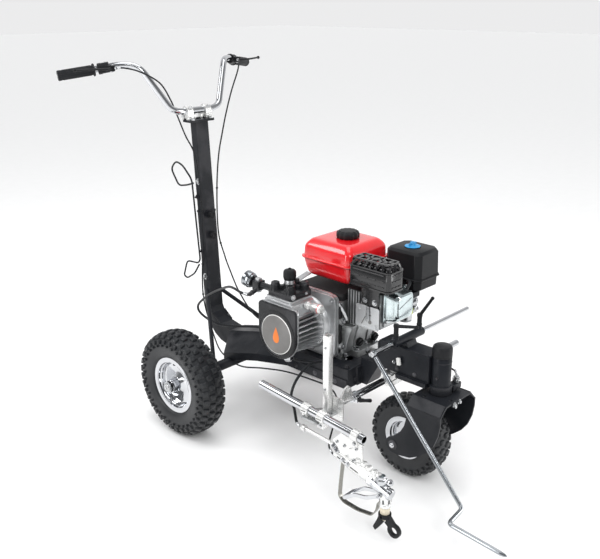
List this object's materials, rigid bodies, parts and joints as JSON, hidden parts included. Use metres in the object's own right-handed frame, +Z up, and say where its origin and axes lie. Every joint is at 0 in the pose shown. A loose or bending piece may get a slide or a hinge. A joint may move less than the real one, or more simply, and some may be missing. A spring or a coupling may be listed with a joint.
{
  "type": "line striping machine",
  "caption": "Walk-behind line striping machine with a three-wheeled frame, small engine, paint pump, side spray gun and fold-up pointer.",
  "frame": {"origin": "on the floor, midway between the pointer's tip and the ends of the handlebar grips, on the machine's centre line", "axes": "+X to the machine's left side, +Y backwards towards the operator, +Z up"},
  "size_m": [0.803, 1.5681, 1.1418],
  "materials": {
    "frame_black": "semi-gloss powder coat",
    "clamp_grey": "satin",
    "chrome": "polished",
    "bright_steel": "brushed",
    "cast_aluminium": "as cast",
    "machined_aluminium": "machined",
    "rocker_silver": "metallic paint",
    "tank_red": "gloss",
    "black_plastic": "satin",
    "muffler_black": "heat-resistant satin",
    "grip_rubber": "matt",
    "hose_black": "satin",
    "tyre": "matt",
    "head_black": "satin",
    "knob_blue": "gloss",
    "tip_beige": "satin",
    "recoil_red": "gloss"
  },
  "bodies": {
    "root": {"main_frame": "frame_black", "caster_arm": "frame_black", "stem_cap": "black_plastic", "rear_axle": "bright_steel", "column_lower": "frame_black", "column_upper": "frame_black", "column_bolts": "black_plastic", "handlebar_clamp": "clamp_grey", "handlebar": "chrome", "grips": "grip_rubber", "lever_brackets": "black_plastic", "hose_hanger": "frame_black", "engine_block": "cast_aluminium", "cylinder_head": "cast_aluminium", "rocker_cover": "rocker_silver", "fuel_tank": "tank_red", "muffler": "muffler_black", "air_cleaner": "black_plastic", "carburettor": "cast_aluminium", "recoil_cover": "recoil_red", "pump_body": "machined_aluminium", "pump_face_plate": "head_black", "pump_head": "head_black", "pump_head_caps": "black_plastic", "pressure_gauge": "chrome", "suction_fitting": "bright_steel", "paint_hose": "hose_black", "gun_cable": "hose_black", "lock_cable": "hose_black", "pointer_bracket": "frame_black", "gun_bar_bracket": "bright_steel", "gun_bar_handles": "black_plastic", "gun_bar": "chrome"},
    "gun_carriage": {"gun_post": "bright_steel", "gun_carrier": "chrome", "gun_body": "chrome"},
    "rear_wheel_right": {"rear_tyre_right": "tyre", "rear_rim_right": "chrome"},
    "rear_wheel_left": {"rear_tyre_left": "tyre", "rear_rim_left": "chrome"},
    "caster": {"caster_fork": "frame_black", "front_axle": "bright_steel"},
    "front_wheel": {"front_tyre": "tyre", "front_rim": "bright_steel"},
    "lock_pin_body": {"lock_pin": "bright_steel"},
    "lock_lever_body": {"lock_lever": "black_plastic"},
    "gun_lever_body": {"gun_lever": "black_plastic"},
    "trigger": {"gun_trigger": "chrome"},
    "pointer_slider": {"pointer_bar": "chrome"},
    "pointer_arm": {"pointer_rod": "chrome"},
    "near_clamp": {"clamp_lever_near": "black_plastic"},
    "far_clamp": {"clamp_lever_far": "black_plastic"},
    "pressure_control": {"pressure_knob": "black_plastic"},
    "prime_control": {"prime_valve": "bright_steel"},
    "tank_cap": {"fuel_cap": "black_plastic"},
    "cleaner_nut": {"air_cleaner_knob": "knob_blue"},
    "throttle": {"throttle_lever": "bright_steel"},
    "tip_handle": {"spray_tip": "tip_beige"},
    "guard": {"tip_guard": "black_plastic"},
    "crank": {"crankshaft": "bright_steel"}
  },
  "joints": [
    {"name": "rear_wheel_right_spin", "type": "hinge", "parent": "root", "child": "rear_wheel_right", "pos_m": [-0.307, 0.342, 0.172], "axis": [1, 0, 0], "continuous": true},
    {"name": "rear_wheel_left_spin", "type": "hinge", "parent": "root", "child": "rear_wheel_left", "pos_m": [0.307, 0.342, 0.172], "axis": [1, 0, 0], "continuous": true},
    {"name": "caster_swivel", "type": "hinge", "parent": "root", "child": "caster", "pos_m": [0, -0.425, 0.35], "axis": [0, 0, 1], "range_deg": [-180, 90]},
    {"name": "front_wheel_spin", "type": "hinge", "parent": "caster", "child": "front_wheel", "pos_m": [0, -0.334, 0.1236], "axis": [1, 0, 0], "continuous": true},
    {"name": "gun_slide", "type": "slide", "parent": "root", "child": "gun_carriage", "axis": [1, 0, 0], "range_m": [-0.08, 0.05], "deforming": ["paint_hose", "gun_cable"]},
    {"name": "gun_lever_pull", "type": "hinge", "parent": "root", "child": "gun_lever_body", "pos_m": [-0.262, 0.669, 1.123], "axis": [0, 0, -1], "range_deg": [0, 18], "stiffness_Nm_per_rad": 3, "springref_deg": -5.73},
    {"name": "trigger_pull", "type": "hinge", "parent": "gun_carriage", "child": "trigger", "pos_m": [-0.314, -0.476, 0.14], "axis": [1, 0, 0], "range_deg": [0, 12]},
    {"name": "lock_lever_pull", "type": "hinge", "parent": "root", "child": "lock_lever_body", "pos_m": [0.262, 0.669, 1.123], "axis": [0, 0, 1], "range_deg": [0, 18], "stiffness_Nm_per_rad": 3, "springref_deg": -5.73},
    {"name": "lock_pin_drop", "type": "slide", "parent": "root", "child": "lock_pin_body", "axis": [0, 0, -1], "range_m": [0, 0.012]},
    {"name": "pointer_slide", "type": "slide", "parent": "root", "child": "pointer_slider", "axis": [1, 0, 0], "range_m": [-0.12, 0]},
    {"name": "pointer_fold", "type": "hinge", "parent": "pointer_slider", "child": "pointer_arm", "pos_m": [-0.158, -0.31, 0.424], "axis": [-1, 0, 0], "range_deg": [0, 100]},
    {"name": "near_clamp_turn", "type": "hinge", "parent": "root", "child": "near_clamp", "pos_m": [-0.06, -0.31, 0.44], "axis": [0, 0, 1], "range_deg": [-90, 90]},
    {"name": "far_clamp_turn", "type": "hinge", "parent": "root", "child": "far_clamp", "pos_m": [0.05, -0.31, 0.44], "axis": [0, 0, 1], "range_deg": [-90, 90]},
    {"name": "pressure_knob_turn", "type": "hinge", "parent": "root", "child": "pressure_control", "pos_m": [-0.124, 0.037, 0.56], "axis": [0, 0, 1], "range_deg": [-540, 540]},
    {"name": "prime_valve_turn", "type": "hinge", "parent": "root", "child": "prime_control", "pos_m": [-0.12, -0.058, 0.479], "axis": [0, -1, 0], "range_deg": [0, 90]},
    {"name": "fuel_cap_turn", "type": "hinge", "parent": "root", "child": "tank_cap", "pos_m": [0.084, -0.009, 0.64], "axis": [0, 0, 1], "range_deg": [0, 90]},
    {"name": "cleaner_nut_turn", "type": "hinge", "parent": "root", "child": "cleaner_nut", "pos_m": [0.19, -0.175, 0.625], "axis": [0, 0, 1], "range_deg": [0, 1080]},
    {"name": "throttle_turn", "type": "hinge", "parent": "root", "child": "throttle", "pos_m": [-0.02, -0.178, 0.446], "axis": [1, 0, 0], "range_deg": [-20, 20]},
    {"name": "tip_turn", "type": "hinge", "parent": "gun_carriage", "child": "tip_handle", "pos_m": [-0.314, -0.484, 0.09], "axis": [0, 0, 1], "range_deg": [0, 180]},
    {"name": "guard_turn", "type": "hinge", "parent": "gun_carriage", "child": "guard", "pos_m": [-0.314, -0.484, 0.08], "axis": [0, 0, 1], "range_deg": [-90, 90]},
    {"name": "crank_spin", "type": "hinge", "parent": "root", "child": "crank", "pos_m": [0, 0.022, 0.397], "axis": [1, 0, 0], "continuous": true}
  ],
  "couplings": [
    {"joint": "trigger_pull", "follows": "gun_lever_pull", "ratio": 0.6667},
    {"joint": "lock_pin_drop", "follows": "lock_lever_pull", "m_per_rad": 0.03788}
  ]
}
